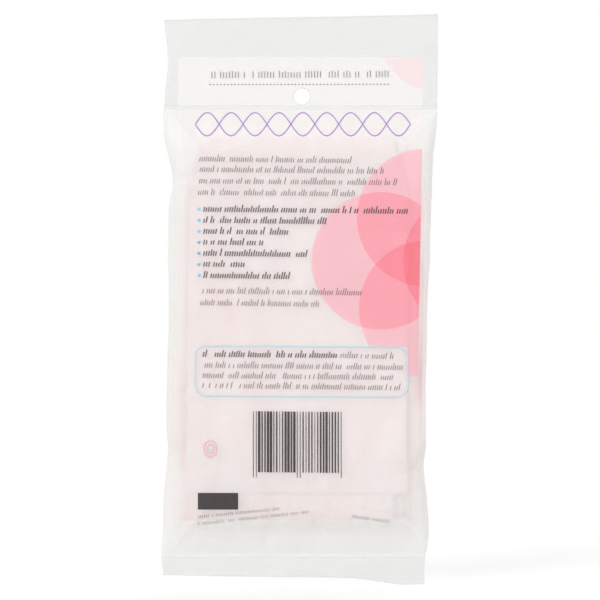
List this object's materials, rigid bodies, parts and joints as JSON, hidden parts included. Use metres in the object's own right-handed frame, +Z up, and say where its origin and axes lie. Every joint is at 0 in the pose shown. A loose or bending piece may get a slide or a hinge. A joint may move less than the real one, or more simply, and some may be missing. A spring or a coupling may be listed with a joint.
{
  "type": "packaged shower cap",
  "caption": "Thin film shower cap folded flat in a frosted hanging pouch with a welded header, a hang hole and a free skirt below the bottom weld.",
  "frame": {"origin": "the middle of the hang hole, halfway through the header's two plies", "axes": "+Z up along the hanging pouch, +X to the right seen from the printed back, and -Y out of the printed back towards the viewer"},
  "size_m": [0.1024, 0.011, 0.2107],
  "materials": {
    "pouch_film": "frosted polyethylene film",
    "pouch_weld": "two plies of film melted into one",
    "cap_film": "soft satin pink vinyl film",
    "cap_hem_film": "the same film, folded over and seamed",
    "elastic": "flat covered elastic band"
  },
  "bodies": {
    "header": {"header_sleeve": "pouch_film", "header_weld": "pouch_weld"},
    "pocket": {"pocket_sleeve": "pouch_film"},
    "skirt": {"bottom_weld": "pouch_weld", "bottom_skirt": "pouch_film"},
    "cap": {"cap_crown": "cap_film", "cap_hem": "cap_hem_film", "cap_elastic": "elastic"}
  },
  "joints": [
    {"name": "header_fold", "type": "hinge", "parent": "header", "child": "pocket", "pos_m": [0, 0, -0.0048], "axis": [1, 0, 0], "range_deg": [-120, 120]},
    {"name": "skirt_fold", "type": "hinge", "parent": "pocket", "child": "skirt", "pos_m": [0, 0, -0.1692], "axis": [1, 0, 0], "range_deg": [-120, 120]},
    {"name": "cap_shift", "type": "slide", "parent": "pocket", "child": "cap", "axis": [0, 0, 1], "range_m": [-0.003, 0.003]}
  ]
}
